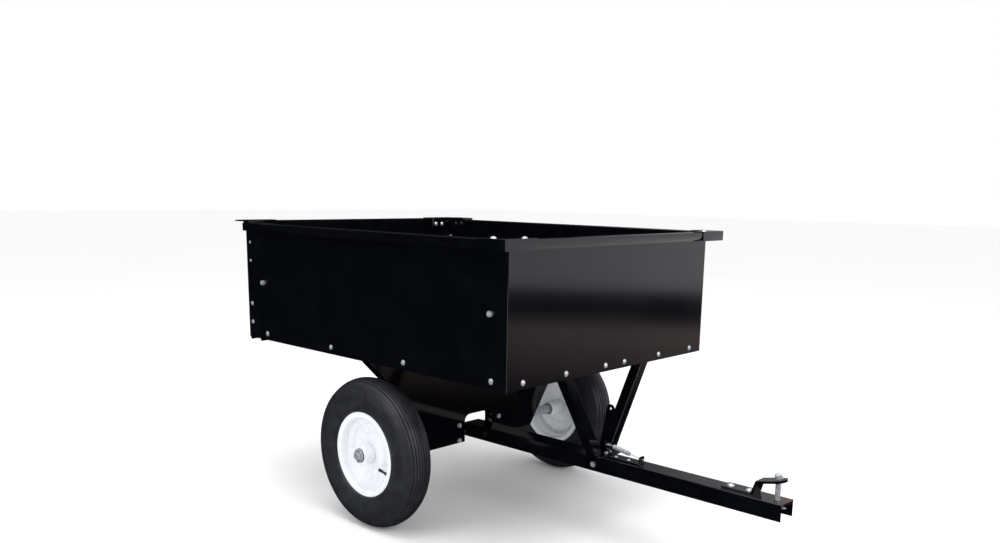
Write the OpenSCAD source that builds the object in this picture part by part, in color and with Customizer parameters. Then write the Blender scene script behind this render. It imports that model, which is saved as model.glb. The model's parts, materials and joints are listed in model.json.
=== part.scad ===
// Tow behind dump cart. Millimetres, +Z up, +X towards the hitch.
// Lengths along X in the helper modules count from the axle; placed() moves them to the part's own origin.

/* [Tub] */
// Length of the tub from the rear edge of the side panels to the front panel
tub_length = 1060; // [848:1:1180]
// Width of the tub across the side panels
tub_width = 812; // [740:1:960]
// Height of the panels from their bottom edge to the rim
panel_height = 340; // [290:1:430]
// Height of the panels' bottom edge above the ground
panel_ground = 452; // [440:1:470]
// How far the front panel stands ahead of the axle
front_reach = 505; // [500:1:560]
// Sheet thickness of the tub
sheet = 2; // [1.5:0.1:3]
// Overhang of the side rims
rim_side = 40; // [25:1:50]
// Overhang of the front rim
rim_front = 28; // [20:1:40]
// Depth of the rims' turned-down lip
rim_lip = 22; // [12:1:30]
// Length of the front panel's return flanges
front_return = 70; // [62:1:100]
// Height of the floor's upturned flanges
floor_flange = 35; // [30:1:50]

/* [Tailgate] */
// Overhang of the tailgate rim behind the panels
gate_rim = 20; // [10:1:30]
// Width of the slot the tailgate slides in
gate_slot = 8; // [6:0.5:12]
// Length of the guide flange along the side panel
guide_length = 93; // [92:1:110]

/* [Running gear] */
// Radius of the tyre
tyre_r = 203; // [195:1:206]
// Width of the tyre
tyre_w = 90; // [80:1:96]
// Sideways distance from the centre of the cart to the middle of a tyre
track_half = 382; // [376:1:400]
// Diameter of the axle bar
axle_d = 20; // [16:0.5:22]
// Length of the axle bar
axle_length = 880; // [870:1:920]
// Outside diameter of the axle sleeves
sleeve_d = 27; // [25:0.5:32]
// Radius of the rim's flanges
rim_r = 114.5; // [110:0.5:120]
// Radius of the rim's bead seat
seat_r = 101.6; // [96:0.2:104]
// Outside diameter of a hub
hub_d = 46; // [42:1:54]

/* [Drawbar] */
// How far the drawbar reaches ahead of the axle
drawbar_reach = 995; // [900:1:1150]
// Width of the drawbar channel
drawbar_w = 60; // [54:1:66]
// Height of the drawbar channel
drawbar_h = 40; // [36:1:44]
// Wall of the drawbar channel
drawbar_wall = 3; // [2.5:0.5:4]
// Diameter of the hitch pin
pin_d = 12.5; // [10:0.5:14]

/* [Bracket and stand] */
// Thickness of the axle bracket plates and other brackets
plate = 3; // [2.5:0.5:4]
// Half width of the slot in the axle bracket plates
slot_half = 58; // [56:1:66]
// Distance from the axle to the stand struts
stand_x = 455; // [445:1:460]
// Depth of the stand struts along the cart
stand_depth = 30; // [24:1:34]
// Diameter of the common bolts
bolt_d = 8; // [6:1:8]

/* [Hidden] */
$fn = 64;
clearance = 0.05;
seat_gap = 0.3;
tub_rear = front_reach - tub_length;
rear_most = tub_rear - gate_rim;
centre_x = (drawbar_reach + rear_most) / 2;
half_w = tub_width / 2;
inner_w = half_w - sheet;
rim_z = panel_ground + panel_height;
floor_z = panel_ground + 3;
axle_z = tyre_r;
axle_r = axle_d / 2;
sleeve_r = sleeve_d / 2;
bar_top = axle_z + 17;
bar_bottom = bar_top - drawbar_h;
bar_half = drawbar_w / 2;
bolt_hole = bolt_d + 0.4;
rim_front_x = front_reach + rim_front;
rim_side_y = half_w + rim_side;
row_z = panel_ground + 18;
guide_x = tub_rear + sheet + gate_slot;
guide_end = guide_x + guide_length;
sill_x = tub_rear + 56;
sill_z = panel_ground - 8;
hook_z = rim_z + seat_gap;
pin_x = drawbar_reach - 25;
latch_x = stand_x + 14;
latch_z = bar_top - 22;
lever_lean = 10.5;
catch = [17.33, 34.33];
strap_t = 6;
strap_back = drawbar_reach - 157;
row_x = [tub_rear + 97, -147, 153];
row_y = [40, 196, 350];
floor_bolt_y = [85, 210, 330];
clamp_y = 82;
clamp_z = 22.5;

black = [0.05, 0.05, 0.06];
zinc = [0.75, 0.75, 0.78];
white = [0.93, 0.93, 0.92];
tyre_black = [0.07, 0.07, 0.07];

// Helpers

module placed() {
    translate([-centre_x, 0, 0]) children();
}

module box(x0, x1, y0, y1, z0, z1) {
    translate([x0, y0, z0]) cube([x1 - x0, y1 - y0, z1 - z0]);
}

// One side of the cart: 1 is left (+Y), -1 is right.
module on_side(s) {
    mirror([0, s < 0 ? 1 : 0, 0]) children();
}

module both() {
    children();
    mirror([0, 1, 0]) children();
}

// Outlines drawn across the cart (Y, Z), t thick from x0 forwards.
module plate_x(x0, t) {
    translate([x0, 0, 0]) rotate([90, 0, 90]) linear_extrude(t) children();
}

// Outlines drawn along the cart (X, Z), from y0 to y1.
module plate_y(y0, y1) {
    translate([0, y1, 0]) rotate([90, 0, 0]) linear_extrude(y1 - y0) children();
}

module rod_x(r, x0, x1, y, z) {
    translate([x0, y, z]) rotate([0, 90, 0]) cylinder(r = r, h = x1 - x0);
}

module rod_y(r, y0, y1, x, z) {
    translate([x, y0, z]) rotate([-90, 0, 0]) cylinder(r = r, h = y1 - y0);
}

module rod_z(r, z0, z1, x, y) {
    translate([x, y, z0]) cylinder(r = r, h = z1 - z0);
}

module dome(d, h) {
    r = (d * d / 4 + h * h) / (2 * h);
    intersection() {
        translate([0, 0, h - r]) sphere(r);
        cylinder(d = d, h = h);
    }
}

// Carriage bolt with nut: the head sits on Z = 0 and the shank runs down through the grip.
module carriage_bolt(d, grip) {
    dome(d * 1.8, d * 0.5);
    translate([0, 0, -grip - d * 1.1]) cylinder(d = d, h = grip + d * 1.1 + 0.5);
    translate([0, 0, -grip - d * 0.8]) cylinder(d = d * 1.85, h = d * 0.8, $fn = 6);
}

module hex_bolt(d, grip) {
    cylinder(d = d * 1.85, h = d * 0.6, $fn = 6);
    translate([0, 0, -grip - d * 1.1]) cylinder(d = d, h = grip + d * 1.1 + 0.5);
    translate([0, 0, -grip - d * 0.8]) cylinder(d = d * 1.85, h = d * 0.8, $fn = 6);
}

module facing_left(x, y, z) {
    translate([x, y, z]) rotate([-90, 0, 0]) children();
}

module facing_front(x, y, z) {
    translate([x, y, z]) rotate([0, 90, 0]) children();
}

// Drawbar assembly

module drawbar() {
    color(black) placed() difference() {
        box(-16, drawbar_reach, -bar_half, bar_half, bar_bottom, bar_top);
        box(-17, drawbar_reach + 1, -bar_half + drawbar_wall, bar_half - drawbar_wall, bar_bottom - 1,
            bar_top - drawbar_wall);
        rod_y(sleeve_r - 0.5 + clearance, -bar_half - 1, bar_half + 1, 0, axle_z);
        rod_y(bolt_hole / 2, -bar_half - 1, bar_half + 1, latch_x, latch_z);
        box(latch_x - 22, latch_x + 28, -4, 4, bar_top - drawbar_wall - 1, bar_top + 1);
        rod_z(5.2, bar_top - 10, bar_top + 1, strap_back + 14, 0);
        rod_z(5.2, bar_top - 10, bar_top + 1, strap_back + 62, 0);
        rod_z(3.2, bar_top - 10, bar_top + 1, latch_x + 50, 0);
        rod_z(3.2, bar_top - 10, bar_top + 1, latch_x + 90, 0);
        rod_z(pin_d / 2 + 0.6, bar_top - 10, bar_top + 1, pin_x, 0);
    }
}

module pivot_tube() {
    color(black) placed() difference() {
        rod_y(sleeve_r - 0.5, -slot_half + 4.3, slot_half - 4.3, 0, axle_z);
        rod_y(axle_r + clearance, -slot_half, slot_half, 0, axle_z);
    }
}

module hitch_strap() {
    color(black) placed() difference() {
        intersection() {
            plate_y(-20, 20) polygon([
                [strap_back, bar_top], [strap_back + 80, bar_top], [strap_back + 89.5, bar_top + 32],
                [drawbar_reach - 3, bar_top + 46.5], [drawbar_reach - 5, bar_top + 52.4],
                [strap_back + 85, bar_top + 37.1], [strap_back + 75.5, bar_top + strap_t],
                [strap_back, bar_top + strap_t]
            ]);
            union() {
                box(strap_back, pin_x, -20, 20, bar_top, bar_top + 60);
                rod_z(20, bar_top, bar_top + 60, pin_x, 0);
            }
        }
        rod_z(5.2, bar_top - 1, bar_top + 10, strap_back + 14, 0);
        rod_z(5.2, bar_top - 1, bar_top + 10, strap_back + 62, 0);
        rod_z(pin_d / 2 + 0.6, bar_top + 20, bar_top + 60, pin_x, 0);
    }
}

module strap_bolts() {
    color(zinc) placed() for (x = [14, 62])
        translate([strap_back + x, 0, bar_top + strap_t]) carriage_bolt(10, strap_t + drawbar_wall);
}

module latch_base() {
    color(black) placed() difference() {
        union() {
            box(latch_x + 36, latch_x + 131, -14, 14, bar_top, bar_top + 3);
            box(latch_x + 128, latch_x + 131, -10, 10, bar_top, bar_top + 20);
        }
        rod_z(3.2, bar_top - 1, bar_top + 4, latch_x + 50, 0);
        rod_z(3.2, bar_top - 1, bar_top + 4, latch_x + 90, 0);
        rod_x(1.8, latch_x + 127, latch_x + 132, 0, bar_top + 13.2);
    }
}

module latch_base_screws() {
    color(zinc) placed() for (x = [50, 90])
        translate([latch_x + x, 0, bar_top + 3]) carriage_bolt(6, 3 + drawbar_wall);
}

module latch_pivot_bolt() {
    color(zinc) placed() facing_left(latch_x, -bar_half, latch_z) rotate([180, 0, 0])
        hex_bolt(bolt_d, drawbar_w);
}

// Spring from the lever down to the anchor: an eye through the lever's hole, closed coils and a tail with a ball end.
module latch_spring() {
    eye_x = latch_x + 17.2;
    eye_z = latch_z + 59.9;
    end_x = latch_x + 131.5;
    end_z = bar_top + 13;
    run = sqrt(pow(end_x - eye_x, 2) + pow(eye_z - end_z, 2));
    tilt = atan2(eye_z - end_z, end_x - eye_x);
    coil = 2.2;
    turns = 26;
    start = 24;
    color(zinc) placed() translate([eye_x, 0, eye_z]) rotate([0, 90 + tilt, 0]) {
        rotate_extrude() union() {
            translate([0, start]) square([5, turns * coil]);
            for (i = [0 : turns - 1]) translate([5, start + coil * (i + 0.5)]) circle(d = coil - 0.1, $fn = 16);
        }
        translate([0, 0, 6]) rotate([0, 90, 0]) rotate_extrude() translate([6, 0]) circle(1.1);
        translate([0, 0, 12]) cylinder(r = 1.1, h = run - 9);
        translate([0, 0, run + 3]) sphere(2.5);
    }
}

// Tub

module bed_floor() {
    inset = inner_w;
    color(black) placed() difference() {
        union() {
            box(tub_rear, front_reach - sheet, -inset + sheet, inset - sheet, floor_z, floor_z + sheet);
            both() box(guide_end + 1, front_reach - front_return - 1, inset - sheet, inset, floor_z,
                floor_z + floor_flange);
            box(guide_end + 1, front_reach - front_return - 1, -inset, inset, floor_z, floor_z + sheet);
            box(front_reach - 2 * sheet, front_reach - sheet, -inset + sheet, inset - sheet, floor_z,
                floor_z + floor_flange);
        }
        both() for (x = [row_x[1], row_x[2]]) rod_y(bolt_hole / 2, inset - 10, inset + 10, x, row_z + 1);
        for (y = row_y) both() rod_x(bolt_hole / 2, front_reach - 10, front_reach + 10, y, row_z - 3);
        floor_bolt_holes(floor_z - 1, floor_z + sheet + 1);
    }
}

module floor_bolt_holes(z0, z1) {
    both() {
        for (y = floor_bolt_y) {
            rod_z(bolt_hole / 2, z0, z1, sleeve_r + 22, y);
            rod_z(bolt_hole / 2, z0, z1, -sleeve_r - 22, y);
        }
        for (y = [100, 300]) rod_z(bolt_hole / 2, z0, z1, tub_rear + 28, y);
        rod_z(bolt_hole / 2, z0, z1, stand_x + 12, 205);
        rod_z(bolt_hole / 2, z0, z1, stand_x + 12, 125);
    }
}

module side_panel(s) {
    rim_back = tub_rear + 49;
    on_side(s) difference() {
        union() {
            box(tub_rear, front_reach, inner_w, half_w, panel_ground, rim_z);
            box(tub_rear, tub_rear + sheet, half_w - 28, half_w, floor_z + sheet, rim_z);
            box(rim_back, front_reach, inner_w, rim_side_y, rim_z - sheet, rim_z);
            box(rim_back, front_reach, rim_side_y - sheet, rim_side_y, rim_z - rim_lip, rim_z);
        }
        for (x = row_x) rod_y(bolt_hole / 2, inner_w - 1, half_w + 1, x, row_z + 1);
        rod_y(bolt_hole / 2, inner_w - 1, half_w + 1, front_reach - 48, row_z + 1);
        rod_y(bolt_hole / 2, inner_w - 1, half_w + 1, front_reach - 51, rim_z - 167);
        rod_y(bolt_hole / 2, inner_w - 1, half_w + 1, tub_rear + 85, rim_z - 172);
        for (z = [58, 111]) rod_y(2.7, inner_w - 1, half_w + 1, tub_rear + 20, rim_z - z);
        for (z = [238, 293]) rod_y(3.7, inner_w - 1, half_w + 1, tub_rear + 20, rim_z - z);
        rod_z(bolt_hole / 2, rim_z - 5, rim_z + 1, front_reach - 22, rim_side_y - 16);
    }
}

module side_panel_right() {
    color(black) placed() side_panel(-1);
}

module side_panel_left() {
    color(black) placed() side_panel(1);
}

module front_panel() {
    lean = 15;
    color(black) placed() difference() {
        union() {
            box(front_reach - sheet, front_reach, -inner_w, inner_w, panel_ground, rim_z);
            both() box(front_reach - front_return, front_reach, inner_w - sheet, inner_w, panel_ground,
                rim_z - sheet);
            box(front_reach - sheet, rim_front_x, -inner_w, inner_w, rim_z - sheet, rim_z);
            box(rim_front_x - sheet, rim_front_x, -inner_w, inner_w, rim_z - rim_lip, rim_z);
        }
        for (y = row_y) both() rod_x(bolt_hole / 2, front_reach - 10, front_reach + 10, y, row_z - 3);
        both() {
            rod_y(bolt_hole / 2, inner_w - 10, half_w, front_reach - 48, row_z + 1);
            rod_y(bolt_hole / 2, inner_w - 10, half_w, front_reach - 51, rim_z - 167);
            rod_z(bolt_hole / 2, rim_z - 5, rim_z + 1, front_reach + lean, rim_side_y - 76);
        }
    }
}

// Cap over a front corner: two legs on top of the rims with lips outside them.
module front_cap(s) {
    cap = 2.5;
    out_x = rim_front_x + cap;
    out_y = rim_side_y + cap;
    back_x = out_x - 80;
    in_y = out_y - 106;
    on_side(s) difference() {
        union() {
            box(back_x, out_x, half_w - sheet, out_y, rim_z, rim_z + cap);
            box(front_reach - sheet, out_x, in_y, out_y, rim_z, rim_z + cap);
            box(back_x, out_x, rim_side_y, out_y, rim_z - rim_lip - 2, rim_z + cap);
            box(rim_front_x, out_x, in_y, out_y, rim_z - rim_lip - 2, rim_z + cap);
        }
        rod_z(bolt_hole / 2, rim_z - 1, rim_z + 5, front_reach - 22, rim_side_y - 16);
        rod_z(bolt_hole / 2, rim_z - 1, rim_z + 5, front_reach + 15, rim_side_y - 76);
    }
}

module front_cap_right() {
    color(black) placed() front_cap(-1);
}

module front_cap_left() {
    color(black) placed() front_cap(1);
}

module cap_bolts() {
    color(zinc) placed() both() {
        translate([front_reach - 22, rim_side_y - 16, rim_z + 2.5]) carriage_bolt(bolt_d, 2.5 + sheet);
        translate([front_reach + 15, rim_side_y - 76, rim_z + 2.5]) carriage_bolt(bolt_d, 2.5 + sheet);
    }
}

module tub_bolts() {
    color(zinc) placed() {
        both() for (x = concat(row_x, [front_reach - 48]))
            facing_left(x, half_w, row_z + 1) carriage_bolt(bolt_d, 2 * sheet);
        both() for (y = row_y) facing_front(front_reach, y, row_z - 3) carriage_bolt(bolt_d, 2 * sheet);
    }
}

// Corner bolts at mid height: heads inside the tub, nuts and thread ends outside.
module corner_bolts() {
    color(zinc) placed() both() {
        facing_left(front_reach - 51, half_w - 2 * sheet, rim_z - 167) rotate([180, 0, 0])
            carriage_bolt(bolt_d, 2 * sheet);
        facing_left(tub_rear + 85, half_w - 2 * sheet, rim_z - 172) rotate([180, 0, 0])
            carriage_bolt(bolt_d, 2 * sheet);
    }
}

module guide_screws() {
    color(zinc) placed() both() {
        for (z = [58, 111]) facing_left(tub_rear + 20, half_w, rim_z - z) carriage_bolt(5, 2 * sheet);
        for (z = [238, 293]) facing_left(tub_rear + 20, half_w, rim_z - z) carriage_bolt(7, 2 * sheet);
    }
}

// Angle that holds the tailgate against the side panel's rear return.
module tailgate_guide(s) {
    on_side(s) difference() {
        union() {
            box(guide_x, guide_end, inner_w - sheet, inner_w, floor_z + sheet, rim_z - 6);
            box(guide_x, guide_x + sheet, half_w - 28, inner_w, floor_z + sheet, rim_z - 6);
        }
        rod_y(bolt_hole / 2, inner_w - 10, half_w, row_x[0], row_z + 1);
        rod_y(bolt_hole / 2, inner_w - 10, half_w, tub_rear + 85, rim_z - 172);
        for (z = [58, 111]) rod_y(2.7, inner_w - 10, half_w, tub_rear + 20, rim_z - z);
        for (z = [238, 293]) rod_y(3.7, inner_w - 10, half_w, tub_rear + 20, rim_z - z);
    }
}

module tailgate_guide_right() {
    color(black) placed() tailgate_guide(-1);
}

module tailgate_guide_left() {
    color(black) placed() tailgate_guide(1);
}

module rear_sill() {
    color(black) placed() difference() {
        box(tub_rear, sill_x, -inner_w + 1, inner_w - 1, sill_z, floor_z);
        box(tub_rear + plate, sill_x - plate, -inner_w, inner_w, sill_z - 1, floor_z - plate);
        both() for (y = [100, 300]) rod_z(bolt_hole / 2, sill_z, floor_z + 1, tub_rear + 28, y);
    }
}

module floor_bolts() {
    top = floor_z + sheet;
    color(zinc) placed() both() {
        for (y = floor_bolt_y) {
            translate([sleeve_r + 22, y, top]) carriage_bolt(bolt_d, sheet + plate);
            translate([-sleeve_r - 22, y, top]) carriage_bolt(bolt_d, sheet + plate);
        }
        for (y = [100, 300]) translate([tub_rear + 28, y, top]) carriage_bolt(bolt_d, sheet + plate);
        translate([stand_x + 12, 205, top]) carriage_bolt(bolt_d, sheet + plate);
        translate([stand_x + 12, 125, top]) carriage_bolt(bolt_d, sheet + plate);
    }
}

module bracket_outline() {
    low = axle_z - 31;
    top = axle_z + 49;
    wide = track_half - tyre_w / 2 - 19;
    difference() {
        polygon([
            [-wide - 84, floor_z], [-wide - 84, floor_z - 6], [-wide, floor_z - 90], [-wide, low + 128],
            [-230, low], [230, low], [wide, low + 128], [wide, floor_z - 90], [wide + 84, floor_z - 6],
            [wide + 84, floor_z]
        ]);
        translate([-slot_half, low - 1]) square([2 * slot_half, top - 20 - low + 1]);
        translate([-slot_half + 20, low - 1]) square([2 * slot_half - 40, top - low + 1]);
        for (y = [-slot_half + 20, slot_half - 20]) translate([y, top - 20]) circle(20);
        for (y = [-clamp_y, clamp_y], z = [-clamp_z, clamp_z]) translate([y, axle_z + z]) circle(bolt_hole / 2);
    }
}

// Transverse plate in front of (1) or behind (-1) the axle, with a flange under the floor.
module axle_bracket(dir) {
    wide = track_half - tyre_w / 2 + 50;
    mirror([dir < 0 ? 1 : 0, 0, 0]) difference() {
        union() {
            plate_x(sleeve_r, plate) bracket_outline();
            box(sleeve_r, sleeve_r + 38, -wide, wide, floor_z - plate, floor_z);
        }
        both() for (y = floor_bolt_y) rod_z(bolt_hole / 2, floor_z - 10, floor_z + 1, sleeve_r + 22, y);
    }
}

module axle_bracket_front() {
    color(black) placed() axle_bracket(1);
}

module axle_bracket_rear() {
    color(black) placed() axle_bracket(-1);
}

module clamp_bolts() {
    color(zinc) placed() for (y = [-clamp_y, clamp_y], z = [-clamp_z, clamp_z])
        facing_front(sleeve_r + plate, y, axle_z + z) hex_bolt(bolt_d, sleeve_d + 2 * plate);
}

// Strut of the stand: a channel open to the rear, with a foot pad on the stand foot and one under the floor.
module stand_strut(s) {
    low = bar_top + 4.2;
    high = floor_z - plate;
    low_y = 27;
    high_y = 165;
    w = 31.6;
    web = 3.5;
    on_side(s) difference() {
        union() {
            plate_x(stand_x + stand_depth - plate, plate) strut_band(low_y, high_y, low, high, w, 0);
            plate_x(stand_x, stand_depth) strut_band(low_y, high_y, low, high, web, w / 2 - web / 2);
            plate_x(stand_x, stand_depth) strut_band(low_y, high_y, low, high, web, -w / 2 + web / 2);
            box(stand_x, stand_x + stand_depth, 105, 225, high, floor_z);
        }
        rod_z(bolt_hole / 2, floor_z - 10, floor_z + 1, stand_x + 12, 205);
        rod_z(bolt_hole / 2, floor_z - 10, floor_z + 1, stand_x + 12, 125);
    }
}

module strut_band(y0, y1, z0, z1, w, off) {
    polygon([[y0 + off - w / 2, z0], [y0 + off + w / 2, z0], [y1 + off + w / 2, z1], [y1 + off - w / 2, z1]]);
}

module stand_strut_right() {
    color(black) placed() stand_strut(-1);
}

module stand_strut_left() {
    color(black) placed() stand_strut(1);
}

module stand_foot() {
    color(black) placed() difference() {
        box(stand_x - 12, stand_x + 47, -46, 46, bar_top + 0.2, bar_top + 4.2);
        box(stand_x - 2, stand_x + 33, -11, 11, bar_top, bar_top + 5);
        box(stand_x + 32, stand_x + 48, -5, 5, bar_top, bar_top + 5);
    }
}

// Axle

module axle() {
    color(zinc) placed() difference() {
        rod_y(axle_r, -axle_length / 2, axle_length / 2, 0, axle_z);
        both() rod_z(1.9, axle_z - 20, axle_z + 20, 0, axle_length / 2 - 5.5);
    }
}

module axle_sleeve(s) {
    on_side(s) difference() {
        rod_y(sleeve_r, slot_half - 4, track_half - 56.2, 0, axle_z);
        rod_y(axle_r + clearance, 0, track_half, 0, axle_z);
    }
}

module axle_sleeve_right() {
    color(zinc) placed() axle_sleeve(-1);
}

module axle_sleeve_left() {
    color(zinc) placed() axle_sleeve(1);
}

module axle_washers() {
    color(zinc) placed() both() {
        washer(track_half - 56);
        washer(axle_length / 2 - 10.2);
    }
}

module washer(y) {
    difference() {
        rod_y(18, y, y + 2.4, 0, axle_z);
        rod_y(axle_r + clearance, y - 1, y + 4, 0, axle_z);
    }
}

module cotter_pins() {
    y = axle_length / 2 - 5.5;
    color(zinc) placed() both() {
        rod_z(1.8, axle_z - axle_r - 8, axle_z + axle_r + 3, 0, y);
        translate([0, y, axle_z + axle_r + 5.5]) rotate([0, 90, 90]) rotate_extrude() translate([3, 0]) circle(1.4);
    }
}

// Wheels: profiles are (radius, offset from the middle of the tyre, outwards positive).

module spun(s) {
    on_side(s) translate([0, track_half, axle_z]) rotate([-90, 0, 0]) children();
}

module tyre_section() {
    wall = 8;
    half = tyre_w / 2;
    crown = tyre_r - 3;
    bulge = tyre_r - 45;
    difference() {
        union() {
            intersection() {
                translate([bulge, 0]) scale([1, half / 45]) circle(45, $fn = 96);
                translate([seat_r + 12, -half]) square([crown - seat_r - 12, 2 * half]);
            }
            translate([seat_r + 0.2, -31.5]) square([32, 63]);
            for (i = [-2 : 2]) translate([tyre_r - 8 - abs(i) * abs(i) * 1.3, i * 12 - 4.2]) square([8, 8.4]);
        }
        translate([bulge, 0]) scale([1, (half - wall) / 37]) circle(37, $fn = 96);
        translate([seat_r - 1, -22]) square([40, 44]);
    }
}

module tyre_right() {
    color(tyre_black) placed() spun(-1) rotate_extrude($fn = 128) tyre_section();
}

module tyre_left() {
    color(tyre_black) placed() spun(1) rotate_extrude($fn = 128) tyre_section();
}

// Rim: two flanges, bead seats, a well, and a dished disc out to the hub.
module rim_section() {
    polygon([
        [rim_r, -34], [rim_r, -31.7], [seat_r, -31.7], [seat_r, -15], [seat_r - 9, -10], [seat_r - 9, 10],
        [seat_r, 15], [seat_r, 31.7], [rim_r, 31.7], [rim_r, 34], [seat_r - 2.4, 34], [seat_r - 2.4, 16.2],
        [seat_r - 9, 13], [seat_r - 16, 11], [seat_r - 24, 2], [seat_r - 42, 2], [seat_r - 50, 8],
        [hub_d / 2 + 0.05, 10], [hub_d / 2 + 0.05, 7.4], [seat_r - 51, 5.4], [seat_r - 43, -0.6], [seat_r - 22, -0.6],
        [seat_r - 14, 8.4], [seat_r - 11.4, 8.8], [seat_r - 11.4, -11.5], [seat_r - 2.4, -16.5],
        [seat_r - 2.4, -34]
    ]);
}

module wheel_rim(s) {
    spun(s) difference() {
        rotate_extrude($fn = 96) rim_section();
        valve_way() cylinder(r = 3.2 + clearance, h = 12, center = true);
    }
}

// Line of the valve stem: through the rim's outer seat, leaning towards the hub.
module valve_way() {
    rotate([0, 0, 25]) translate([seat_r - 1, 0, 19.4]) rotate([0, -72, 0]) children();
}

module rim_right() {
    color(white) placed() wheel_rim(-1);
}

module rim_left() {
    color(white) placed() wheel_rim(1);
}

module wheel_hub(s) {
    spun(s) difference() {
        translate([0, 0, -51]) cylinder(d = hub_d, h = 96.5);
        translate([0, 0, -52]) cylinder(r = axle_r + 5, h = 100);
        translate([0, 0, -52]) cylinder(r = hub_d / 2 - 4, h = 13);
        translate([0, 0, 33.5]) cylinder(r = hub_d / 2 - 4, h = 13);
    }
}

module hub_right() {
    color(white) placed() wheel_hub(-1);
}

module hub_left() {
    color(white) placed() wheel_hub(1);
}

module bearing_pair(s) {
    spun(s) for (z = [-51, 33.5]) translate([0, 0, z]) difference() {
        cylinder(r = hub_d / 2 - 4 - clearance, h = 12);
        translate([0, 0, -1]) cylinder(r = axle_r + clearance, h = 14);
    }
}

module bearings_right() {
    color(zinc) placed() bearing_pair(-1);
}

module bearings_left() {
    color(zinc) placed() bearing_pair(1);
}

module valve(s) {
    spun(s) valve_way() {
        translate([0, 0, -4]) cylinder(r = 3.2, h = 36);
        translate([0, 0, 3.4]) cylinder(r1 = 5, r2 = 4, h = 12);
        translate([0, 0, 26]) cylinder(r = 4, h = 10);
    }
}

module valve_right() {
    color(tyre_black) placed() valve(-1);
}

module valve_left() {
    color(tyre_black) placed() valve(1);
}

// Tailgate

module tailgate_panel() {
    mid = tub_rear + sheet + gate_slot / 2;
    wide = inner_w - sheet - 1.5;
    top = rim_z + 4;
    low = floor_z + sheet + seat_gap;
    color(black) placed() difference() {
        union() {
            box(mid - 1, mid + 1, -wide, wide, low, top);
            both() box(mid - 2.5, mid + 2.5, wide - 16, wide, low, rim_z - 31);
            box(mid - 2.5, mid + 2.5, -wide, wide, low, low + 14);
            box(rear_most, mid + 1, -wide, wide, top - sheet, top);
            box(rear_most, rear_most + sheet, -wide, wide, top - rim_lip, top);
        }
        both() for (y = [half_w - 38, half_w - 66]) rod_x(4.2, mid - 10, mid + 10, y, rim_z - 16);
    }
}

// Corner hook: a plate on the tailgate's inner face, turned forwards along the side and over the side rim.
module tailgate_hook(s) {
    mid = tub_rear + sheet + gate_slot / 2 + 1;
    hook = 2.5;
    out = inner_w - sheet - 1.5;
    on_side(s) difference() {
        union() {
            box(mid, mid + hook, half_w - 82, out - 16.2, rim_z - 30, rim_z + 6.3);
            box(mid, mid + hook, half_w - 30, out, rim_z - 5, rim_z + 6.3);
            box(mid, tub_rear + 85, out - hook, out, rim_z - 5, rim_z + 6.3);
            box(mid, tub_rear + 85, out - hook, rim_side_y, hook_z + 3.5, rim_z + 6.3);
            box(rear_most, mid + hook, half_w - 100, rim_side_y - 20, rim_z + 4, rim_z + 6.3);
            box(tub_rear + 55, tub_rear + 85, out - hook, rim_side_y, hook_z, rim_z + 6.3);
        }
        for (y = [half_w - 38, half_w - 66]) rod_x(4.2, mid - 10, mid + 10, y, rim_z - 16);
    }
}

module tailgate_hook_right() {
    color(black) placed() tailgate_hook(-1);
}

module tailgate_hook_left() {
    color(black) placed() tailgate_hook(1);
}

module tailgate_bolts() {
    mid = tub_rear + sheet + gate_slot / 2 + 1;
    color(zinc) placed() both() for (y = [half_w - 38, half_w - 66])
        facing_front(mid + 2.5, y, rim_z - 16) dome(14, 4);
}

// Latch

module latch_lever() {
    color(black) placed() translate([latch_x, 0, latch_z]) rotate([0, lever_lean, 0]) difference() {
        union() {
            plate_y(-2.5, 2.5) {
                translate([-11, 0]) square([22, 152]);
                circle(11);
                translate([0, 152]) circle(11);
                polygon([[0, 18], [22, 27], [24, 38], [0, 54]]);
                translate(catch) circle(8.5);
            }
        }
        rod_y(bolt_d / 2 + clearance, -5, 5, 0, 0);
        rod_y(4, -5, 5, 0, 152);
        rod_y(2, -5, 5, 6, 62);
        rod_y(4 + clearance, -5, 5, catch[0], catch[1]);
    }
}

// Cross pin through the lever's ear: it lies on the stand foot's two tabs.
module latch_catch_pin() {
    color(zinc) placed() translate([latch_x, 0, latch_z]) rotate([0, lever_lean, 0])
        rod_y(4, -10.5, 10.5, catch[0], catch[1]);
}

// Hitch pin

module hitch_pin() {
    color(zinc) placed() difference() {
        rod_z(pin_d / 2, bar_top - 26, bar_top + 56, pin_x, 0);
        rod_x(1.9, pin_x - 10, pin_x + 10, 0, bar_top - 17);
        rod_x(1.6, pin_x - 10, pin_x + 10, 0, bar_top + 52);
    }
}

// Pull loop: a straight bar through the pin's cross hole, closed by a half ring above it.
module hitch_ring() {
    wire = 1.5;
    r = 9.5;
    color(zinc) placed() translate([pin_x, 0, bar_top + 52]) {
        rotate([90, 0, 0]) rotate_extrude(angle = 180) translate([r, 0]) circle(wire);
        rod_x(wire, -r, r, 0, 0);
    }
}

module hitch_clip() {
    wire = 1.5;
    y = 8.8;
    color(zinc) placed() translate([0, 0, bar_top - 17]) {
        rod_x(wire, pin_x - 14, pin_x + 14, 0, 0);
        rod_x(wire, pin_x - 14, pin_x + 14, y, 0);
        translate([pin_x + 14, y / 2, 0]) rotate([0, 0, -90]) rotate_extrude(angle = 180)
            translate([y / 2, 0]) circle(wire);
    }
}

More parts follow.
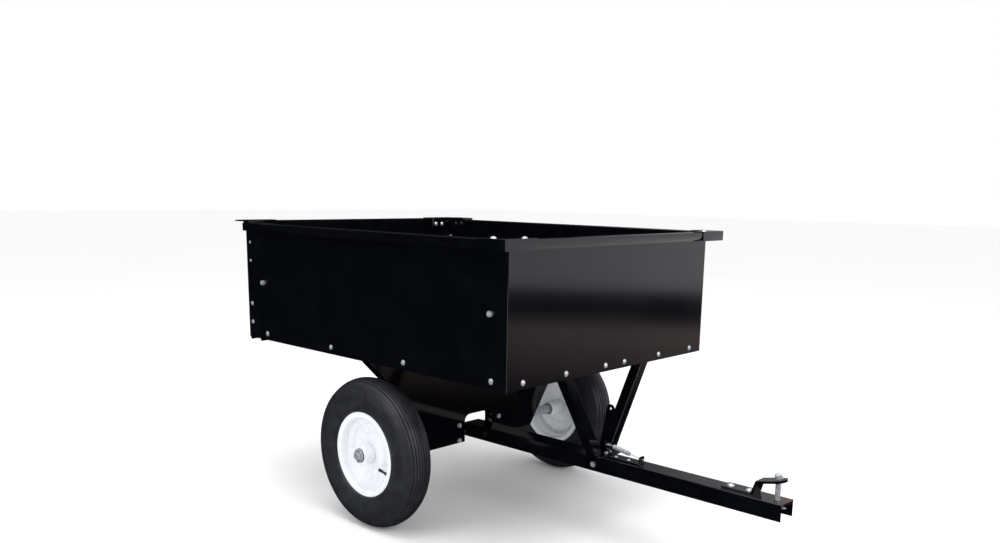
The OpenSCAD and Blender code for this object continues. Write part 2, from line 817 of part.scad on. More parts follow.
drawbar();
pivot_tube();
hitch_strap();
strap_bolts();
latch_base();
latch_base_screws();
latch_pivot_bolt();
latch_spring();
bed_floor();
side_panel_right();
side_panel_left();
front_panel();
front_cap_right();
front_cap_left();
cap_bolts();
tub_bolts();
corner_bolts();
guide_screws();
tailgate_guide_right();
tailgate_guide_left();
rear_sill();
floor_bolts();
axle_bracket_front();
axle_bracket_rear();
clamp_bolts();
stand_strut_right();
stand_strut_left();
stand_foot();
axle();
axle_sleeve_right();
axle_sleeve_left();
axle_washers();
cotter_pins();
tyre_right();
rim_right();
hub_right();
bearings_right();
valve_right();
tyre_left();
rim_left();
hub_left();
bearings_left();
valve_left();
tailgate_panel();
tailgate_hook_right();
tailgate_hook_left();
tailgate_bolts();
latch_lever();
latch_catch_pin();
hitch_pin();
hitch_ring();
hitch_clip();
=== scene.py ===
"""Tow behind dump cart: finished pieces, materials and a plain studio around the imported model."""

import json
import math

import bmesh
import bpy
from bpy.props import FloatProperty, FloatVectorProperty, IntProperty, PointerProperty
from mathutils import Matrix, Vector


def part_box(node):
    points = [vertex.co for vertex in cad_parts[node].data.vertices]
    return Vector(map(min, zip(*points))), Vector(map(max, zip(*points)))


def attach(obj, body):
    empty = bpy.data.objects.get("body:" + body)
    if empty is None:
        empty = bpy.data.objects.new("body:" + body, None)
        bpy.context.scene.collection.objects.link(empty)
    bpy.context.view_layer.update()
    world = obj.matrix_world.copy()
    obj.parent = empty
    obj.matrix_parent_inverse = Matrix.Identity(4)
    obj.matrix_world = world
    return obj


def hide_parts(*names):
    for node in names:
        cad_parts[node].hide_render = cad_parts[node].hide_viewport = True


bl_info = {
    "name": "Tow behind dump cart",
    "version": (1, 0, 0),
    "blender": (4, 5, 0),
    "location": "View3D > Sidebar > Cart",
    "description": "Finished pieces, materials and studio for a towed dump cart",
    "category": "Add Mesh",
}

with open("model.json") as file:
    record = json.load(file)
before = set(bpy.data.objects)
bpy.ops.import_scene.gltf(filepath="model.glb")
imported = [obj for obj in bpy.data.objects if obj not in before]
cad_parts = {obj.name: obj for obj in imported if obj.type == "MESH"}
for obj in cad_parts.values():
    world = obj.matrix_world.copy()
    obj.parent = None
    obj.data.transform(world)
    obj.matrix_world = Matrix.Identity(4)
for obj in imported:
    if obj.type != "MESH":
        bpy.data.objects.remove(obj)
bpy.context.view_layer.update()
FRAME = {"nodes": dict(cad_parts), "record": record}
MM = 0.001
SIDES = {"right": -1, "left": 1}


def linear(hex_code):
    """An sRGB hex colour as linear red, green and blue."""
    parts = [int(hex_code[i : i + 2], 16) / 255 for i in (1, 3, 5)]
    return tuple(c / 12.92 if c <= 0.04045 else ((c + 0.055) / 1.055) ** 2.4 for c in parts)


def rgba(colour):
    return (*tuple(colour)[:3], 1.0)


# Sizes and colours


class CartSizes(bpy.types.PropertyGroup):
    """Sizes of the finished pieces."""

    bend: FloatProperty(
        name="Bend radius", description="Inside radius of the sheet metal folds", default=1.5, min=0.5, max=4.0
    )
    edge: FloatProperty(
        name="Edge rounding", description="Rounding of cut edges, in millimetres", default=0.45, min=0.1, max=1.0
    )
    ribs: IntProperty(name="Tread ribs", description="Ribs round each tyre", default=9, min=5, max=11)
    groove: FloatProperty(
        name="Tread groove", description="Width of a tread groove, in millimetres", default=2.2, min=1.0, max=3.0
    )
    depth: FloatProperty(
        name="Groove depth", description="Depth of a tread groove, in millimetres", default=2.6, min=1.0, max=5.0
    )
    coils: IntProperty(name="Spring coils", description="Turns of the latch spring", default=24, min=12, max=30)
    wire: FloatProperty(
        name="Spring wire", description="Diameter of the spring wire, in millimetres", default=2.1, min=1.0, max=2.2
    )


class CartColours(bpy.types.PropertyGroup):
    """Colours of the finishes."""

    coat: FloatVectorProperty(
        name="Powder coat", description="Colour of the tub and drawbar", subtype="COLOR", default=linear("#040508")
    )
    enamel: FloatVectorProperty(
        name="Rim enamel", description="Colour of the rims", subtype="COLOR", default=linear("#e3e5ea")
    )
    rubber: FloatVectorProperty(
        name="Tyre rubber", description="Colour of the tyres", subtype="COLOR", default=linear("#1f2024")
    )
    zinc: FloatVectorProperty(
        name="Zinc plate", description="Colour of the fasteners", subtype="COLOR", default=linear("#d4d6da")
    )
    floor: FloatVectorProperty(
        name="Floor", description="Colour of the studio floor", subtype="COLOR", default=linear("#fdfdfd")
    )


# Mesh helpers


def finish_piece(bm, name, material, body, nodes, sharp_deg=40.0):
    """Makes a mesh object of bm that rides on body and stands for the CAD nodes."""
    mesh = bpy.data.meshes.new(name)
    bm.to_mesh(mesh)
    bm.free()
    mesh.materials.append(material)
    for face in mesh.polygons:
        face.use_smooth = True
    mesh.set_sharp_from_angle(angle=math.radians(sharp_deg))
    piece = bpy.data.objects.new(name, mesh)
    bpy.context.scene.collection.objects.link(piece)
    piece.modifiers.new("even_shading", "WEIGHTED_NORMAL").keep_sharp = True
    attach(piece, body)
    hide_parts(*nodes)
    return piece


def body_with(node):
    """The body that a CAD node belongs to."""
    for body, nodes in FRAME["record"]["behaviour"]["bodies"].items():
        if node in nodes:
            return body
    raise ValueError("no body holds " + node)


def face_width(face, edge):
    return face.calc_area() / max(edge.calc_length(), 1e-6)


def corner_edges(bm, concave, folds, fold_width, least_deg=30.0):
    """Edges between two faces that meet at a corner: folds lie between two broad faces, cut edges don't."""
    found = []
    for edge in bm.edges:
        if len(edge.link_faces) != 2:
            continue
        angle = edge.calc_face_angle_signed(0.0)
        if abs(angle) < math.radians(least_deg) or (angle < 0) != concave:
            continue
        broad = all(face_width(face, edge) > fold_width for face in edge.link_faces)
        if broad == folds and edge.calc_length() > 0.002:
            found.append(edge)
    return found


def bevel(bm, edges, radius, segments):
    if edges and radius > 0:
        bmesh.ops.bevel(
            bm, geom=edges, offset=radius, offset_type="OFFSET", segments=segments, profile=0.5,
            affect="EDGES", clamp_overlap=True, material=-1,
        )


def softened(node, material, wall=2.0, bend=None, edge=None, name=None):
    """A copy of a CAD node with its folds rounded as bent sheet and its cut edges eased."""
    sizes = bpy.context.scene.cart_sizes
    bend = sizes.bend if bend is None else bend
    edge = sizes.edge if edge is None else edge
    bm = bmesh.new()
    bm.from_mesh(FRAME["nodes"][node].data)
    bmesh.ops.remove_doubles(bm, verts=bm.verts, dist=0.01 * MM)
    bmesh.ops.dissolve_limit(
        bm, angle_limit=math.radians(0.6), use_dissolve_boundaries=False, verts=bm.verts, edges=bm.edges
    )
    broad = wall * 2.2 * MM
    if bend > 0:
        bevel(bm, corner_edges(bm, False, True, broad), (bend + wall) * MM, 4)
        bevel(bm, corner_edges(bm, True, True, broad), bend * MM, 3)
    bevel(bm, corner_edges(bm, False, False, broad), edge * MM, 2)
    return finish_piece(bm, name or node + "_formed", material, body_with(node), [node])


def spin_profile(points, centre, side, steps):
    """Spins a closed (radius, outward) profile, in millimetres, about an axle along Y."""
    bm = bmesh.new()
    corners = [
        bm.verts.new((centre[0], centre[1] + side * out * MM, centre[2] + radius * MM)) for radius, out in points
    ]
    edges = [bm.edges.new((a, b)) for a, b in zip(corners, corners[1:] + corners[:1])]
    bmesh.ops.spin(
        bm, geom=corners + edges, cent=centre, axis=(0, 1, 0), angle=math.tau, steps=steps, use_merge=True
    )
    bmesh.ops.remove_doubles(bm, verts=bm.verts, dist=0.01 * MM)
    bmesh.ops.recalc_face_normals(bm, faces=bm.faces)
    return bm


def middle(node):
    low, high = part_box(node)
    return (Vector(low) + Vector(high)) / 2


# Material helpers


def add_node(tree, kind, inputs=None, **settings):
    """Adds a node with its settings, and values or links for its inputs."""
    made = tree.nodes.new(kind)
    for key, value in settings.items():
        setattr(made, key, value)
    for key, value in (inputs or {}).items():
        if isinstance(value, bpy.types.NodeSocket):
            tree.links.new(value, made.inputs[key])
        else:
            made.inputs[key].default_value = value
    return made


def start_material(name, **sockets):
    """A new material: its tree, its Principled shader with constants set, and object coordinates."""
    material = bpy.data.materials.new(name)
    material.use_nodes = True
    tree = material.node_tree
    shader = tree.nodes["Principled BSDF"]
    for key, value in sockets.items():
        shader.inputs[key.replace("_", " ")].default_value = value
    place = add_node(tree, "ShaderNodeTexCoord").outputs["Object"]
    return material, tree, shader, place


def noise(tree, place, grain_mm, detail=2.0, roughness=0.5):
    """Noise whose features are about grain_mm across."""
    return add_node(
        tree, "ShaderNodeTexNoise",
        {"Vector": place, "Scale": 1000.0 / grain_mm, "Detail": detail, "Roughness": roughness},
    ).outputs["Fac"]


def spread(tree, value, low, high, from_low=0.3, from_high=0.7):
    """Value stretched from one range to another."""
    return add_node(
        tree, "ShaderNodeMapRange",
        {"Value": value, "From Min": from_low, "From Max": from_high, "To Min": low, "To Max": high},
    ).outputs["Result"]


def blend_colour(tree, factor, first, second):
    made = add_node(tree, "ShaderNodeMix", data_type="RGBA")
    tree.links.new(factor, made.inputs[0])
    for socket, colour in ((made.inputs[6], first), (made.inputs[7], second)):
        if isinstance(colour, bpy.types.NodeSocket):
            tree.links.new(colour, socket)
        else:
            socket.default_value = rgba(colour)
    return made.outputs[2]


def bump(tree, height, depth_mm, strength=1.0, under=None):
    inputs = {"Height": height, "Distance": depth_mm * MM, "Strength": strength}
    if under is not None:
        inputs["Normal"] = under
    return add_node(tree, "ShaderNodeBump", inputs).outputs["Normal"]


def powder_coat():
    """Gloss black powder coat on pressed sheet: fine orange peel, slow waves in the sheet, a little dust."""
    colours = bpy.context.scene.cart_colours
    material, tree, shader, place = start_material(
        "gloss_black_powder_coat", IOR=1.5, Specular_IOR_Level=0.5
    )
    dust = spread(tree, noise(tree, place, 60, 5.0, 0.65), 0.0, 0.5, 0.45, 0.8)
    tint = blend_colour(tree, dust, colours.coat, linear("#0d0f14"))
    tree.links.new(tint, shader.inputs["Base Color"])
    tree.links.new(spread(tree, noise(tree, place, 420, 1.0), 0.07, 0.10), shader.inputs["Roughness"])
    # A real orange peel is about 1 mm across; 3 mm is the finest that shows.
    waves = bump(tree, noise(tree, place, 520, 0.0), 1.6, 0.35)
    peel = bump(tree, noise(tree, place, 3.0, 1.0), 0.02, 0.5, waves)
    tree.links.new(peel, shader.inputs["Normal"])
    return material


def worn_coat():
    """The same powder coat, rubbed through to red-oxide primer on top of the drawbar's tip."""
    material = powder_coat()
    material.name = "powder_coat_worn_to_primer"
    tree = material.node_tree
    shader = tree.nodes["Principled BSDF"]
    place = next(n for n in tree.nodes if n.type == "TEX_COORD").outputs["Object"]
    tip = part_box("drawbar")[1]
    parts = add_node(tree, "ShaderNodeSeparateXYZ", {"Vector": place}).outputs
    along = spread(tree, parts["X"], 0.0, 1.0, tip[0] - 30 * MM, tip[0] - 20 * MM)
    upper = spread(tree, parts["Z"], 0.0, 1.0, tip[2] - 3 * MM, tip[2] - 1 * MM)
    rubbed = spread(tree, noise(tree, place, 14, 4.0, 0.6), 0.0, 1.0, 0.38, 0.52)
    far_side = spread(tree, parts["Y"], 0.0, 1.0, -8 * MM, 6 * MM)
    both = add_node(tree, "ShaderNodeMath", {0: along, 1: upper}, operation="MULTIPLY").outputs[0]
    both = add_node(tree, "ShaderNodeMath", {0: both, 1: far_side}, operation="MULTIPLY").outputs[0]
    mask = add_node(tree, "ShaderNodeMath", {0: both, 1: rubbed}, operation="MULTIPLY").outputs[0]
    coat = shader.inputs["Base Color"].links[0].from_socket
    tree.links.new(blend_colour(tree, mask, coat, linear("#571a22")), shader.inputs["Base Color"])
    return material


def bright_zinc():
    """Bright zinc plate on cold-headed steel: cloudy, slightly dull metal."""
    colours = bpy.context.scene.cart_colours
    material, tree, shader, place = start_material("bright_zinc_plate", Metallic=0.6)
    cloud = spread(tree, noise(tree, place, 6, 3.0), 0.0, 1.0)
    tree.links.new(blend_colour(tree, cloud, colours.zinc, linear("#9da2ab")), shader.inputs["Base Color"])
    tree.links.new(spread(tree, noise(tree, place, 3, 2.0), 0.24, 0.42), shader.inputs["Roughness"])
    tree.links.new(bump(tree, noise(tree, place, 1.6, 2.0), 0.02, 0.4), shader.inputs["Normal"])
    return material


def white_enamel():
    """White stoved enamel on pressed steel rims: smooth, with faint orange peel and patches of grime."""
    colours = bpy.context.scene.cart_colours
    material, tree, shader, place = start_material("white_stoved_enamel", IOR=1.5, Specular_IOR_Level=0.5)
    grime = spread(tree, noise(tree, place, 35, 5.0, 0.6), 0.0, 0.35, 0.5, 0.8)
    tree.links.new(blend_colour(tree, grime, colours.enamel, linear("#cfd0d2")), shader.inputs["Base Color"])
    tree.links.new(spread(tree, noise(tree, place, 20, 2.0), 0.22, 0.34), shader.inputs["Roughness"])
    tree.links.new(bump(tree, noise(tree, place, 3.0, 1.0), 0.02, 0.4), shader.inputs["Normal"])
    return material


def tyre_rubber():
    """Moulded black tyre rubber: matt, with a fine grain and a dry bloom of dust."""
    colours = bpy.context.scene.cart_colours
    material, tree, shader, place = start_material("moulded_tyre_rubber", IOR=1.52, Specular_IOR_Level=0.35)
    bloom = spread(tree, noise(tree, place, 28, 5.0, 0.65), 0.0, 0.7, 0.42, 0.75)
    tree.links.new(blend_colour(tree, bloom, colours.rubber, linear("#30333b")), shader.inputs["Base Color"])
    tree.links.new(spread(tree, noise(tree, place, 9, 3.0), 0.36, 0.52), shader.inputs["Roughness"])
    # The mould's grain is under 0.5 mm; 2 mm is the finest that shows.
    tree.links.new(bump(tree, noise(tree, place, 2.0, 3.0), 0.12, 0.5), shader.inputs["Normal"])
    return material


def turned_steel():
    """Turned bearing steel, mottled in tone and roughness."""
    material, tree, shader, place = start_material("turned_bearing_steel", Metallic=1.0)
    tree.links.new(
        blend_colour(tree, noise(tree, place, 4, 2.0), linear("#8d9096"), linear("#5d6066")),
        shader.inputs["Base Color"],
    )
    tree.links.new(spread(tree, noise(tree, place, 2, 2.0), 0.3, 0.5), shader.inputs["Roughness"])
    return material


def floor_paint():
    """Seamless matt studio floor."""
    colours = bpy.context.scene.cart_colours
    material, tree, shader, place = start_material("matt_studio_floor", Specular_IOR_Level=0.1)
    cloud = noise(tree, place, 900, 2.0)
    tree.links.new(blend_colour(tree, cloud, colours.floor, linear("#f9f9fa")), shader.inputs["Base Color"])
    shader.inputs["Roughness"].default_value = 0.85
    return material


MAKERS = {
    "gloss_black_powder_coat": powder_coat,
    "powder_coat_worn_to_primer": worn_coat,
    "bright_zinc_plate": bright_zinc,
    "white_stoved_enamel": white_enamel,
    "moulded_tyre_rubber": tyre_rubber,
    "turned_bearing_steel": turned_steel,
    "matt_studio_floor": floor_paint,
}


def finish(name):
    """The material of that name, made when first asked for."""
    return bpy.data.materials.get(name) or MAKERS[name]()


# Operators


class CART_OT_stage(bpy.types.Operator):
    """Floor, soft lights and camera"""

    bl_idname = "cart.stage"
    bl_label = "Studio"

    def execute(self, context):
        scene = context.scene
        bm = bmesh.new()
        bmesh.ops.create_grid(bm, x_segments=1, y_segments=1, size=30.0)
        mesh = bpy.data.meshes.new("studio_floor")
        bm.to_mesh(mesh)
        bm.free()
        mesh.materials.append(finish("matt_studio_floor"))
        floor = bpy.data.objects.new("studio_floor", mesh)
        scene.collection.objects.link(floor)

        floor.visible_glossy = False
        scene.world = self.surroundings()
        for name, where, target, size, power in (
            ("overhead_soft", (0.3, -0.4, 3.4), (0.0, 0.0, 0.4), 2.6, 70.0),
            ("front_soft", (3.2, -0.6, 1.9), (0.2, 0.0, 0.5), 1.8, 40.0),
            ("side_soft", (-0.6, -3.4, 1.8), (0.0, 0.0, 0.4), 1.6, 22.0),
        ):
            lamp = bpy.data.lights.new(name, "AREA")
            lamp.energy = power
            lamp.size = size
            holder = bpy.data.objects.new(name, lamp)
            holder.location = where
            aim = Vector(target) - Vector(where)
            holder.rotation_euler = aim.to_track_quat("-Z", "Y").to_euler()
            scene.collection.objects.link(holder)

        lens = bpy.data.cameras.new("studio_camera")
        lens.sensor_width = 36.0
        lens.lens = 32.23
        lens.shift_x = -0.015
        lens.shift_y = 0.0965
        camera = bpy.data.objects.new("studio_camera", lens)
        yaw, pitch, roll = 2.314, -0.1948, 0.0174
        look = Vector((math.cos(pitch) * math.cos(yaw), math.cos(pitch) * math.sin(yaw), math.sin(pitch)))
        right = look.cross(Vector((0, 0, 1))).normalized()
        above = right.cross(look)
        tilted = right * math.cos(roll) + above * math.sin(roll)
        upright = above * math.cos(roll) - right * math.sin(roll)
        turn = Matrix((tilted, upright, -look)).transposed()
        camera.matrix_world = Matrix.Translation((1.6258, -1.8259, 0.8938)) @ turn.to_4x4()
        scene.collection.objects.link(camera)
        scene.camera = camera
        scene.view_settings.view_transform = "Standard"
        return {"FINISHED"}

    def surroundings(self):
        """White air all round; gloss surfaces mirror a dark room that opens to daylight ahead and to the left."""
        world = bpy.data.worlds.new("studio_air")
        world.use_nodes = True
        tree = world.node_tree
        way = add_node(tree, "ShaderNodeTexCoord").outputs["Generated"]
        height = add_node(tree, "ShaderNodeSeparateXYZ", {"Vector": way}).outputs["Z"]
        ahead = add_node(
            tree, "ShaderNodeVectorMath", {0: way, 1: (0.67, 0.74, 0.0)}, operation="DOT_PRODUCT"
        ).outputs["Value"]
        upright = spread(tree, height, 0.0, 1.0, -1.0, 1.0)
        daylight = self.bands(tree, upright, (
            (0.0, "#0a0b0d"), (0.388, "#121316"), (0.404, "#8d7b76"), (0.426, "#c4b2ae"), (0.432, "#0a0c10"),
            (0.445, "#0c0e12"), (0.449, "#f6f7fc"), (0.60, "#fafbfc"), (1.0, "#ffffff"),
        ))
        room = self.bands(tree, upright, (
            (0.0, "#08090b"), (0.47, "#0c0e12"), (0.54, "#15171c"), (0.64, "#1f2228"), (0.78, "#8c9096"),
            (0.88, "#ffffff"),
        ))
        mirrored = blend_colour(tree, spread(tree, ahead, 0.0, 1.0, 0.15, 0.6), room, daylight)
        glossy = add_node(tree, "ShaderNodeLightPath").outputs["Is Glossy Ray"]
        seen = blend_colour(tree, glossy, (1.0, 1.0, 1.0), mirrored)
        tree.links.new(seen, tree.nodes["Background"].inputs["Color"])
        tree.nodes["Background"].inputs["Strength"].default_value = 1.0
        return world

    def bands(self, tree, factor, stops):
        """A colour ramp with these stops."""
        ramp = add_node(tree, "ShaderNodeValToRGB", {"Fac": factor})
        elements = ramp.color_ramp.elements
        while len(elements) < len(stops):
            elements.new(1.0)
        for element, (place, colour) in zip(elements, stops):
            element.position = place
            element.color = rgba(linear(colour))
        return ramp.outputs["Color"]


class CART_OT_tyres(bpy.types.Operator):
    """Two ribbed tyres"""

    bl_idname = "cart.tyres"
    bl_label = "Tyres"

    def execute(self, context):
        for word, side in SIDES.items():
            node = "tyre_" + word
            low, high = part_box(node)
            tread = (high[2] - low[2]) / 2 / MM
            half = (high[1] - low[1]) / 2 / MM
            bm = spin_profile(self.profile(context, tread, half), middle(node), side, 144)
            piece = finish_piece(
                bm, node + "_moulded", finish("moulded_tyre_rubber"), "wheel_" + word, [node], 50.0
            )
        return {"FINISHED"}

    def profile(self, context, tread, half):
        """Half of the section, from the bead to the middle rib, and its mirror image."""
        sizes = context.scene.cart_sizes
        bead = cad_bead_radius()
        last = sizes.ribs // 2
        pitch = 69.0 / sizes.ribs
        gap = sizes.groove / 2
        ease = 0.5

        def crown(across):
            return tread - 0.0105 * across * across

        wall = [
            (bead + 0.4, 22.0), (bead + 0.4, 30.5), (bead + 3.0, 31.4), (bead + 12.4, 31.6), (bead + 14.6, 34.4),
            (bead + 16.2, 37.8), (bead + 17.6, 37.2), (bead + 20.0, 38.6), (tread - 72, 42.2), (tread - 62, 44.0),
            (tread - 52, half - 0.1), (tread - 44, half), (tread - 36, half - 0.3), (tread - 30, half - 1.7),
            (tread - 24, half - 3.8), (tread - 19, half - 6.2), (tread - 16, half - 8.0), (tread - 14, half - 9.4),
        ]
        ribs = []
        for rib in range(last, -1, -1):
            outer, inner_edge = (rib + 0.5) * pitch - gap, (rib - 0.5) * pitch + gap
            ribs += [(crown(outer) - ease, outer), (crown(outer - ease), outer - ease)]
            if rib:
                ribs += [(crown(inner_edge + ease), inner_edge + ease), (crown(inner_edge) - ease, inner_edge)]
                floor = crown((rib - 0.5) * pitch) - sizes.depth
                ribs += [(floor, inner_edge - 0.3), (floor, inner_edge - 2 * gap + 0.3)]
        half_section = wall + ribs
        inner = [(bead + 10, 18.0), (bead + 22, 27.0), (tread - 46, half - 9), (tread - 18, half - 16), (tread - 11, 12.0)]
        outer = half_section + [(r, -y) for r, y in reversed(half_section)]
        return outer + [(r, -y) for r, y in inner] + [(r, y) for r, y in reversed(inner)]


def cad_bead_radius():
    """Radius of the rims' bead seats, 12.9 mm inside their flanges."""
    low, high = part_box("rim_right")
    return (high[2] - low[2]) / 2 / MM - 12.7


class CART_OT_rims(bpy.types.Operator):
    """Two pressed rims with dished discs"""

    bl_idname = "cart.rims"
    bl_label = "Rims"

    def execute(self, context):
        for word, side in SIDES.items():
            node = "rim_" + word
            low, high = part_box(node)
            flange = (high[2] - low[2]) / 2 / MM
            bore = (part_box("hub_" + word)[1][2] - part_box("hub_" + word)[0][2]) / 2 / MM
            bm = spin_profile(self.profile(flange, bore), middle(node), side, 128)
            piece = finish_piece(bm, node + "_pressed", finish("white_stoved_enamel"), "wheel_" + word, [node], 50.0)
        return {"FINISHED"}

    def profile(self, flange, bore):
        """Closed section of the barrel and disc, outer face first."""
        seat = flange - 12.9
        return [
            (flange - 0.8, 34.0), (flange, 33.2), (flange, 32.2), (flange - 0.8, 31.7), (seat + 2.2, 31.6),
            (seat + 0.6, 31.0), (seat, 29.4), (seat - 0.4, 16.0), (seat - 1.4, 13.8), (seat - 8.0, 10.6),
            (seat - 9.0, 8.4), (seat - 9.0, -8.4), (seat - 8.0, -10.6), (seat - 1.4, -13.8), (seat - 0.4, -16.0),
            (seat, -29.4), (seat + 0.6, -31.0), (seat + 2.2, -31.6), (flange - 0.8, -31.7), (flange, -32.2),
            (flange, -33.2), (flange - 0.8, -34.0), (seat + 1.0, -34.0), (seat - 1.4, -33.2), (seat - 2.4, -31.2),
            (seat - 2.8, -17.6), (seat - 4.2, -15.6), (seat - 10.4, -12.6), (seat - 11.6, -10.4), (seat - 11.6, 4.6),
            (seat - 13.0, 7.2), (seat - 16.0, 7.4), (seat - 19.5, 3.4), (seat - 23.0, -0.2), (seat - 26.0, -1.0),
            (seat - 40.0, -1.0), (seat - 44.0, -0.2), (seat - 50.0, 4.4), (seat - 54.0, 5.6), (bore + 0.3, 6.4),
            (bore + 0.3, 9.4), (seat - 53.6, 8.6), (seat - 49.2, 7.2), (seat - 43.0, 2.4), (seat - 40.0, 1.6),
            (seat - 26.6, 1.6), (seat - 24.4, 2.2), (seat - 21.0, 5.8), (seat - 17.4, 9.8), (seat - 14.0, 11.2),
            (seat - 9.4, 12.0), (seat - 4.2, 14.6), (seat - 2.8, 17.0), (seat - 2.4, 31.2), (seat - 1.4, 33.2),
            (seat + 1.0, 34.0),
        ]


class CART_OT_tub(bpy.types.Operator):
    """Panels, floor, corner caps, tailgate and its guides, all in folded sheet"""

    bl_idname = "cart.tub"
    bl_label = "Tub"

    nodes = (
        "bed_floor", "side_panel_right", "side_panel_left", "front_panel", "front_cap_right", "front_cap_left",
        "tailgate_guide_right", "tailgate_guide_left", "rear_sill", "tailgate_panel", "tailgate_hook_right",
        "tailgate_hook_left",
    )

    def execute(self, context):
        for node in self.nodes:
            softened(node, finish("gloss_black_powder_coat"))
        return {"FINISHED"}


class CART_OT_underframe(bpy.types.Operator):
    """Axle brackets, stand, axle and sleeves"""

    bl_idname = "cart.underframe"
    bl_label = "Underframe"

    plates = ("axle_bracket_front", "axle_bracket_rear", "stand_strut_right", "stand_strut_left", "stand_foot")
    round_parts = ("axle", "axle_sleeve_right", "axle_sleeve_left", "axle_washers", "cotter_pins")

    def execute(self, context):
        for node in self.plates:
            softened(node, finish("gloss_black_powder_coat"), wall=3.0)
        for node in self.round_parts:
            softened(node, finish("bright_zinc_plate"), bend=0)
        return {"FINISHED"}


class CART_OT_drawbar(bpy.types.Operator):
    """Drawbar channel, pivot tube, hitch strap and latch base"""

    bl_idname = "cart.drawbar"
    bl_label = "Drawbar"

    def execute(self, context):
        coat = finish("gloss_black_powder_coat")
        softened("drawbar", finish("powder_coat_worn_to_primer"), wall=3.0, bend=2.0)
        softened("pivot_tube", coat, bend=0)
        softened("hitch_strap", coat, wall=6.0, bend=4.0, edge=1.0)
        softened("latch_base", coat, wall=3.0)
        softened("latch_lever", coat, bend=0, edge=0.7)
        return {"FINISHED"}


class CART_OT_spring(bpy.types.Operator):
    """Latch spring wound from wire, with its eye and tail"""

    bl_idname = "cart.spring"
    bl_label = "Latch spring"

    def execute(self, context):
        sizes = context.scene.cart_sizes
        low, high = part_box("latch_spring")
        wire = sizes.wire * MM / 2
        eye = Vector((low[0] + 1.1 * MM, 0.0, high[2] - 7.0 * MM))
        far = Vector((high[0] - 2.5 * MM, 0.0, low[2] + 2.5 * MM))
        run = (far - eye).normalized()
        turned = Vector((0, 0, 1)).rotation_difference(run).to_matrix().to_4x4()
        radius = 5.0 * MM
        lead = sizes.wire * 1.04 * MM
        start = 24.0 * MM
        end = start + lead * sizes.coils
        length = (far - eye).length
        route = [Vector((0, 6 * MM * math.sin(a), 6 * MM - 6 * MM * math.cos(a))) for a in self.angles(0, 1.0, 20)]
        route += [Vector((0, 0, 12 * MM)), Vector((0, 0, start - 3 * MM))]
        for a in self.angles(0, sizes.coils, 20 * sizes.coils):
            route.append(Vector((radius * math.cos(a), radius * math.sin(a), start + lead * a / math.tau)))
        route += [Vector((0, 0, end + 3 * MM)), Vector((0, 0, length))]
        curve = bpy.data.curves.new("latch_spring_wire", "CURVE")
        curve.dimensions = "3D"
        curve.bevel_depth = wire
        curve.bevel_resolution = 2
        spline = curve.splines.new("POLY")
        spline.points.add(len(route) - 1)
        for point, place in zip(spline.points, route):
            point.co = (*(Matrix.Translation(eye) @ turned @ place), 1.0)
        holder = bpy.data.objects.new("latch_spring_wire", curve)
        context.scene.collection.objects.link(holder)
        depsgraph = context.evaluated_depsgraph_get()
        bm = bmesh.new()
        bm.from_mesh(holder.evaluated_get(depsgraph).to_mesh())
        bpy.data.objects.remove(holder)
        bpy.data.curves.remove(curve)
        ball = bmesh.ops.create_uvsphere(bm, u_segments=16, v_segments=10, radius=2.4 * MM)
        bmesh.ops.translate(bm, verts=ball["verts"], vec=far)
        bmesh.ops.remove_doubles(bm, verts=bm.verts, dist=0.01 * MM)
        bmesh.ops.recalc_face_normals(bm, faces=bm.faces)
        piece = finish_piece(bm, "latch_spring_wound", finish("bright_zinc_plate"), "drawbar", ["latch_spring"], 60)
        return {"FINISHED"}

    def angles(self, first, last, count):
        return [math.tau * (first + (last - first) * i / count) for i in range(count + 1)]


class CART_OT_fasteners(bpy.types.Operator):
    """Bolts, nuts and screws with eased edges"""

    bl_idname = "cart.fasteners"
    bl_label = "Fasteners"

    nodes = (
        "strap_bolts", "latch_base_screws", "latch_pivot_bolt", "cap_bolts", "tub_bolts", "corner_bolts",
        "guide_screws", "floor_bolts", "clamp_bolts", "tailgate_bolts", "latch_catch_pin",
    )

    def execute(self, context):
        for node in self.nodes:
            softened(node, finish("bright_zinc_plate"), bend=0, edge=0.35)
        return {"FINISHED"}


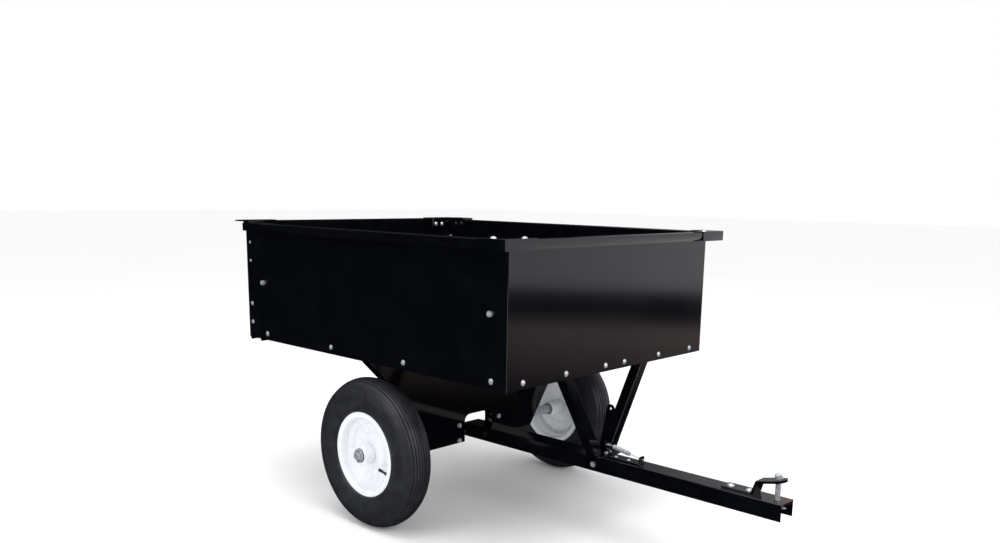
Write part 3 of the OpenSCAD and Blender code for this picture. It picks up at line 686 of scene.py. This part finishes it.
class CART_OT_hitch(bpy.types.Operator):
    """Hitch pin, its pull loop and its clip"""

    bl_idname = "cart.hitch"
    bl_label = "Hitch"

    def execute(self, context):
        for node in ("hitch_pin", "hitch_ring", "hitch_clip"):
            softened(node, finish("bright_zinc_plate"), bend=0, edge=0.8)
        return {"FINISHED"}


class CART_OT_wheel_centres(bpy.types.Operator):
    """Hubs, bearings and valve stems"""

    bl_idname = "cart.wheel_centres"
    bl_label = "Wheel centres"

    def execute(self, context):
        for word in SIDES:
            softened("hub_" + word, finish("white_stoved_enamel"), bend=0, edge=0.8)
            softened("bearings_" + word, finish("turned_bearing_steel"), bend=0)
            softened("valve_" + word, finish("moulded_tyre_rubber"), bend=0, edge=0.6)
        return {"FINISHED"}


class CART_PT_panel(bpy.types.Panel):
    """Builds the cart piece by piece"""

    bl_idname = "CART_PT_panel"
    bl_label = "Cart"
    bl_space_type = "VIEW_3D"
    bl_region_type = "UI"
    bl_category = "Cart"

    def draw(self, context):
        for group in (context.scene.cart_sizes, context.scene.cart_colours):
            for name in group.bl_rna.properties.keys():
                if name not in {"rna_type", "name"}:
                    self.layout.prop(group, name)
        for step in STEPS:
            self.layout.operator(step.bl_idname)


STEPS = (
    CART_OT_stage,
    CART_OT_tyres,
    CART_OT_rims,
    CART_OT_wheel_centres,
    CART_OT_tub,
    CART_OT_underframe,
    CART_OT_drawbar,
    CART_OT_spring,
    CART_OT_fasteners,
    CART_OT_hitch,
)
CLASSES = (CartSizes, CartColours, *STEPS, CART_PT_panel)


def register():
    for made in CLASSES:
        bpy.utils.register_class(made)
    bpy.types.Scene.cart_sizes = PointerProperty(type=CartSizes)
    bpy.types.Scene.cart_colours = PointerProperty(type=CartColours)


def unregister():
    del bpy.types.Scene.cart_colours
    del bpy.types.Scene.cart_sizes
    for made in reversed(CLASSES):
        bpy.utils.unregister_class(made)


def main():
    register()
    for step in STEPS:
        group, word = step.bl_idname.split(".")
        getattr(getattr(bpy.ops, group), word)()


if __name__ == "__main__":
    main()
